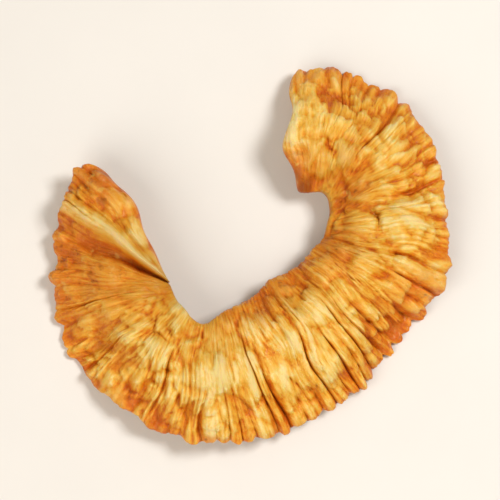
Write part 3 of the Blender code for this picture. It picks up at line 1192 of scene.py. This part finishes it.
@dataclass
class DriedSlice:
    """The slice's flesh: one closed mesh whose columns follow the fibres.

    Strands and hairs run along the bundles and drift a little to the side, crinkles run across
    them, grains and cracks cover the pillows, and nodules stand near the rim. All of it grows
    from nothing at the slab's edges, between the two shares of the full thickness in edge_fade.
    The fringe, which makes the rim ragged, has scallops, lobes and fray. The patterns keep the
    two faces unlike.
    """

    grid: SlabGrid = field(default_factory=SlabGrid)
    toning: Toning = Toning()
    finish: DriedFlesh = DriedFlesh()
    crown_flatness: float = 2.0
    groove_sharpness: float = 2.4
    slit_sharpness: float = 4.0
    face_pattern: float = 20.0
    finish_pattern: float = 30.0
    drift: Wrinkle = Wrinkle(6.0, 7.0, 0.0)
    drift_in_widths: float = 0.9
    strands: Wrinkle = Wrinkle(1.1, 8.0, 1.0, height=0.38 * MM, paler_and_highlit=1.2, level=0.55)
    hairs: Wrinkle = Wrinkle(0.5, 6.0, 2.0, height=0.12 * MM, paler_and_highlit=0.5, level=0.5)
    crinkles: Wrinkle = Wrinkle(2.4, 1.3, 3.0, height=0.28 * MM, paler_and_highlit=0.2)
    fine_crinkles: Wrinkle = Wrinkle(1.1, 0.7, 4.0, height=0.14 * MM, paler_and_highlit=0.1)
    narrow_crinkles: float = 0.4
    end_crinkles: float = 0.9
    end_crinkle_angles: Pair = (172.0, 160.0)
    nodules: Wrinkle = Wrinkle(1.9, 1.5, 5.0, height=0.52 * MM)
    nodule_rise: Pair = (0.18, 0.55)
    nodules_along: Pair = (0.55, 0.9)
    grain_size: float = 1.5 * MM
    grain_pattern: float = 6.0
    grain_shoulder: float = 0.5
    grain_level: float = 0.6
    grain_height: float = 0.30 * MM
    grain_pale_and_highlight: float = 0.4
    crack_width: float = 0.10
    crack_depth: float = 0.15 * MM
    crack_shade: float = 0.3
    blotch_size: float = 2.9 * MM
    blotch_paler: float = 0.25
    edge_fade: Pair = (0.3 / 1.4, 1.3 / 1.4)
    near_blur: tuple[int, int] = (9, 2)
    near_height: float = 0.42 * MM
    far_blur: tuple[int, int] = (40, 9)
    far_height: float = 2.0 * MM
    fringe_from: float = 0.7
    lobe_length: float = 1.1 * MM
    lobe_pitch: float = 6.5
    lobe_pattern: float = 61.0
    fray: Wrinkle = Wrinkle(1.5, 1.0, 41.0, height=0.35 * MM)
    fine_fray: Wrinkle = Wrinkle(0.6, 1.0, 42.0, height=0.175 * MM)

    def build(self) -> bpy.types.Object:
        """Makes the flesh, dresses it and fits it to the frame.

        Returns:
            The finished piece.
        """
        mesh = self._mesh()
        mesh.materials.append(self.finish.material())
        piece = bpy.data.objects.new("pineapple_flesh", mesh)
        bpy.context.scene.collection.objects.link(piece)
        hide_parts(NODE)
        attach(piece, "root")
        return piece

    def _broad_relief(self) -> np.ndarray:
        """The bundles' crowns, the grooves and slits between them, and the pillows.

        Returns:
            How far each place of the top stands out from the smooth slab.
        """
        grid, form = self.grid, self.grid.form
        groove, split = grid.fan.grooves(grid.edge, grid.along)
        valley = 1.0 - grid.bow
        ribs = grid.fibre.ribs
        crown = grid.fan.crown[grid.bundle] * (1.0 - valley**self.crown_flatness) * ribs
        sunk = groove * valley**self.groove_sharpness * ribs + split * valley**self.slit_sharpness
        pillow = (dome(grid.from_crease, form.pillow_shoulder) - form.pillow_middle) * grid.pillowed
        relief = (crown - sunk) * grid.fullness + form.pillow_height * pillow
        spare = np.maximum(0.0, grid.full_thickness * grid.rounding - form.thinnest_flesh)
        return np.maximum(relief, -spare / (1.0 + Side.UNDERSIDE.depth))

    def _fine_relief(self, side: Side) -> tuple[np.ndarray, np.ndarray]:
        """The strands, crinkles, grains, nodules and cracks of one face.

        Args:
            side: The face.

        Returns:
            How far each place stands out, and how much paler it is than its height alone
            makes it: tops partly painted highlight, cracks painted shade.
        """
        grid, face = self.grid, self.face_pattern * side.sign
        x, y = grid.across / MM, grid.reach / MM
        drift = self.drift_in_widths * self.drift.waves(x, y, face)
        strings = [(kind, kind.ridges(x, y, face, drift)) for kind in (self.strands, self.hairs)]
        relief = sum(kind.height * bumps for kind, bumps in strings) * grid.stringy
        # Strand tops painted paler: partly pale dry fibre, partly painted highlight.
        tone = sum(kind.paler_and_highlit * bumps for kind, bumps in strings) * grid.stringy

        ruffled = 1.0 + self.end_crinkles * smooth_step(*self.end_crinkle_angles, grid.angle)
        full = self.narrow_crinkles + (1.0 - self.narrow_crinkles) * grid.fullness
        for kind in (self.crinkles, self.fine_crinkles):
            crinkled = kind.waves(x, y, face) * ruffled
            relief += kind.height * crinkled * full
            # Crinkle tops painted paler, partly painted highlight.
            tone += kind.paler_and_highlit * crinkled

        nodules = smooth_step(*self.nodule_rise, self.nodules.waves(x, y, face))
        relief += self.nodules.height * nodules * smooth_step(*self.nodules_along, grid.along)
        pattern = face + self.grain_pattern
        from_grain = grid.form.from_crease(grid.plan, self.grain_size, pattern)
        grains = (dome(from_grain, self.grain_shoulder) - self.grain_level) * grid.pillowed
        cracks = np.exp(-((grid.from_crease / self.crack_width) ** 2)) * grid.pillowed
        relief += self.grain_height * grains - self.crack_depth * cracks
        # Grain tops painted paler, partly painted highlight; cracks painted darker as painted shade.
        tone += self.grain_pale_and_highlight * grains - self.crack_shade * cracks
        tone += self.blotch_paler * noise_in_plan(grid.plan, self.blotch_size)
        return relief * np.interp(grid.rounding, self.edge_fade, (0.0, 1.0)), tone

    def _painted_relief_shade(self, side: Side, points: np.ndarray) -> np.ndarray:
        """How far each place of a face stands out from the flesh round it, near and far.

        Args:
            side: The face.
            points: Its points.

        Returns:
            About 1 on a ridge and -1 in a hollow. The finish paints highlight on ridges and shade in
            hollows, partly the flesh's own paler ridges.
        """
        height = side.sign * points[..., 2]
        near = self._blurred(height, *self.near_blur)
        far = self._blurred(near, *self.far_blur)
        return 0.5 * ((height - near) / self.near_height + (near - far) / self.far_height)

    def _blurred(self, values: np.ndarray, columns: int, rows: int) -> np.ndarray:
        """The mean of the values round each place, taken twice so that it is smooth.

        Args:
            values: One value for each place.
            columns: How many columns the mean reaches to each side.
            rows: How many rows it reaches to each side.

        Returns:
            The means.
        """
        for reach in (columns, rows) * 2:
            size = 2 * reach + 1
            padded = np.pad(values, ((reach + 1, reach), (0, 0)), mode="edge")
            total = np.cumsum(padded, axis=0)
            values = ((total[size:] - total[:-size]) / size).T
        return values

    def _points(self, side: Side, relief: np.ndarray) -> np.ndarray:
        """Where the grid's places lie on one face.

        Args:
            side: The face.
            relief: How far each place stands out from the smooth slab.

        Returns:
            The points, in metres.
        """
        grid, form = self.grid, self.grid.form
        off = side.sign * (0.5 * grid.full_thickness * grid.rounding + relief)
        longer = grid.fan.scallop[grid.bundle] * grid.bow
        for kind in (self.fray, self.fine_fray):
            longer += kind.height * kind.waves(grid.across / MM, 0.0, 0.0)
        longer += self.lobe_length * noise_field(grid.angle / self.lobe_pitch, 0.0, self.lobe_pattern)
        longer = longer * smooth_step(self.fringe_from, 1.0, grid.along)
        points = grid.centre + grid.up * off[..., None] + grid.out * longer[..., None]
        lowest = form.foot_thickness * grid.rounding if side is Side.TOP else 0.0
        points[..., 2] = np.maximum(points[..., 2], lowest)
        return points + np.array((form.core_x, form.core_y, 0.0))

    def _mesh(self) -> bpy.types.Mesh:
        """Bends a flat slab into the slice and writes the attributes that its finish reads.

        Returns:
            The mesh.
        """
        grid, broad = self.grid, self._broad_relief()
        brown, pale = self.toning.tones(grid)
        faces = {}
        for side in Side:
            fine, tone = self._fine_relief(side)
            points = self._points(side, broad * side.depth + fine * side.fine_depth)
            # Relief tone: painted highlight on ridges and painted shade in hollows, partly the
            # flesh's own paler ridges and amber hollows.
            tone = np.clip(tone + self._painted_relief_shade(side, points), -1.0, 1.0)
            tones = {"relief": tone, "brown": brown, "pale": pale, "stringy": grid.stringy}
            faces[side] = (points, tones)

        # A slab of side 1 and height 1: its corners' x, y and z say which place each one takes.
        bm = bmesh.new()
        bmesh.ops.create_grid(bm, x_segments=grid.rows, y_segments=grid.columns, size=0.5)
        made = bmesh.ops.extrude_face_region(bm, geom=bm.faces[:])
        raised = [part for part in made["geom"] if isinstance(part, bmesh.types.BMVert)]
        bmesh.ops.translate(bm, verts=raised, vec=(0.0, 0.0, 1.0))
        bmesh.ops.recalc_face_normals(bm, faces=bm.faces[:])
        place_layer = bm.verts.layers.float_vector.new("fibre_place")
        layers = {name: bm.verts.layers.float.new(name) for name in tones}
        for vert in bm.verts:
            spot = (round((vert.co.y + 0.5) * grid.columns), round((vert.co.x + 0.5) * grid.rows))
            side = Side.TOP if vert.co.z > 0.5 else Side.UNDERSIDE
            points, tones = faces[side]
            vert.co = points[spot]
            pattern = self.finish_pattern * side.sign
            vert[place_layer] = (grid.across[spot] / MM, grid.reach[spot] / MM, pattern)
            for name, layer in layers.items():
                vert[layer] = tones[name][spot]
        mesh = bpy.data.meshes.new("pineapple_flesh")
        bm.to_mesh(mesh)
        bm.free()
        mesh.shade_smooth()
        return mesh


@dataclass(frozen=True)
class Lamp:
    """A square area light that faces the slice, with its side in metres and power in watts."""

    name: str
    place: Triple
    size: float
    power: float
    colour: Triple

    def hang(self) -> None:
        """Puts the lamp in the scene."""
        lamp = bpy.data.lights.new(self.name, "AREA")
        lamp.size = self.size
        lamp.energy = self.power
        lamp.color = self.colour
        holder = bpy.data.objects.new(self.name, lamp)
        holder.location = self.place
        holder.rotation_euler = Vector(self.place).to_track_quat("Z", "Y").to_euler()
        bpy.context.scene.collection.objects.link(holder)


@dataclass(frozen=True)
class PaleFloor:
    """The finish of the floor: a matt, pale ground with a faint mottle."""

    colour: Triple = (0.80, 0.78, 0.75)
    mottle: Grain = Grain(40.0, 4.0)
    mottled: Rise = Rise(0.3, 0.7)
    mottle_darkness: float = 0.97
    roughness: float = 0.7

    def material(self) -> bpy.types.Material:
        """The floor's material.

        Returns:
            The material.
        """
        bench = NodeBench("floor_finish")
        spot = bench.node("TexCoord").outputs["Object"]
        mottle = bench.mapped(bench.noise(spot, self.mottle), self.mottled)
        darker = tuple(self.mottle_darkness * part for part in self.colour)
        colour = bench.blend(mottle, self.colour, darker)
        bench.shade({"Base Color": colour, "Roughness": self.roughness})
        return bench.material


@dataclass
class Studio:
    """The pale floor, the soft lights and the camera over the slice."""

    camera_elevation: float = 82.5
    frame_width: float = 88.0 * MM
    lens: float = 200.0
    nearest_view: float = 0.01
    floor_finish: PaleFloor = PaleFloor()
    floor_reach: float = 1.5
    floor_segments: int = 8
    floor_gap: float = 0.1 * MM
    key: Lamp = Lamp("key", (0.29, 0.10, 0.48), 0.16, 2.3, (1.0, 0.98, 0.95))
    fill: Lamp = Lamp("fill", (-0.30, -0.34, 0.45), 0.50, 2.4, (1.0, 0.95, 0.88))
    sky_strength: float = 0.31
    sky_colour: Triple = (1.0, 0.88, 0.72)

    def build(self) -> bpy.types.Object:
        """Sets the floor, the lights and the camera.

        Returns:
            The floor.
        """
        floor = self._floor()
        self.key.hang()
        self.fill.hang()
        self._sky()
        self._camera()
        return floor

    def _floor(self) -> bpy.types.Object:
        """A wide floor, a hair below the slice's flat feet.

        Returns:
            The floor.
        """
        bm = bmesh.new()
        segments = self.floor_segments
        bmesh.ops.create_grid(bm, x_segments=segments, y_segments=segments, size=self.floor_reach)
        bmesh.ops.translate(bm, verts=bm.verts, vec=(0.0, 0.0, -self.floor_gap))
        mesh = bpy.data.meshes.new("floor")
        bm.to_mesh(mesh)
        bm.free()
        mesh.materials.append(self.floor_finish.material())
        floor = bpy.data.objects.new("floor", mesh)
        bpy.context.scene.collection.objects.link(floor)
        return floor

    def _sky(self) -> None:
        """An even, slightly warm surround."""
        world = bpy.data.worlds.new("surround")
        world.use_nodes = True
        background = world.node_tree.nodes["Background"]
        background.inputs["Color"].default_value = (*self.sky_colour, 1.0)
        background.inputs["Strength"].default_value = self.sky_strength
        bpy.context.scene.world = world
        bpy.context.scene.view_settings.view_transform = "Standard"

    def _camera(self) -> None:
        """A long lens that looks down on the middle of the slice."""
        low, high = (Vector(corner) for corner in CAD_BOX)
        middle = (low + high) / 2.0
        lens = bpy.data.cameras.new("camera")
        lens.lens = self.lens
        lens.clip_start = self.nearest_view
        distance = self.frame_width * self.lens / lens.sensor_width
        tilt = math.radians(self.camera_elevation)
        way = Vector((0.0, -math.cos(tilt), math.sin(tilt)))
        camera = bpy.data.objects.new("camera", lens)
        camera.location = middle + way * distance
        camera.rotation_euler = way.to_track_quat("Z", "Y").to_euler()
        bpy.context.scene.collection.objects.link(camera)
        bpy.context.scene.camera = camera


def main() -> None:
    """Builds the studio and the slice, and reports each piece."""
    logging.basicConfig(level=logging.INFO, format="%(message)s")
    for piece in (Studio().build(), DriedSlice().build()):
        log.info("%s: %d faces", piece.name, len(piece.data.polygons))


if __name__ == "__main__":
    main()
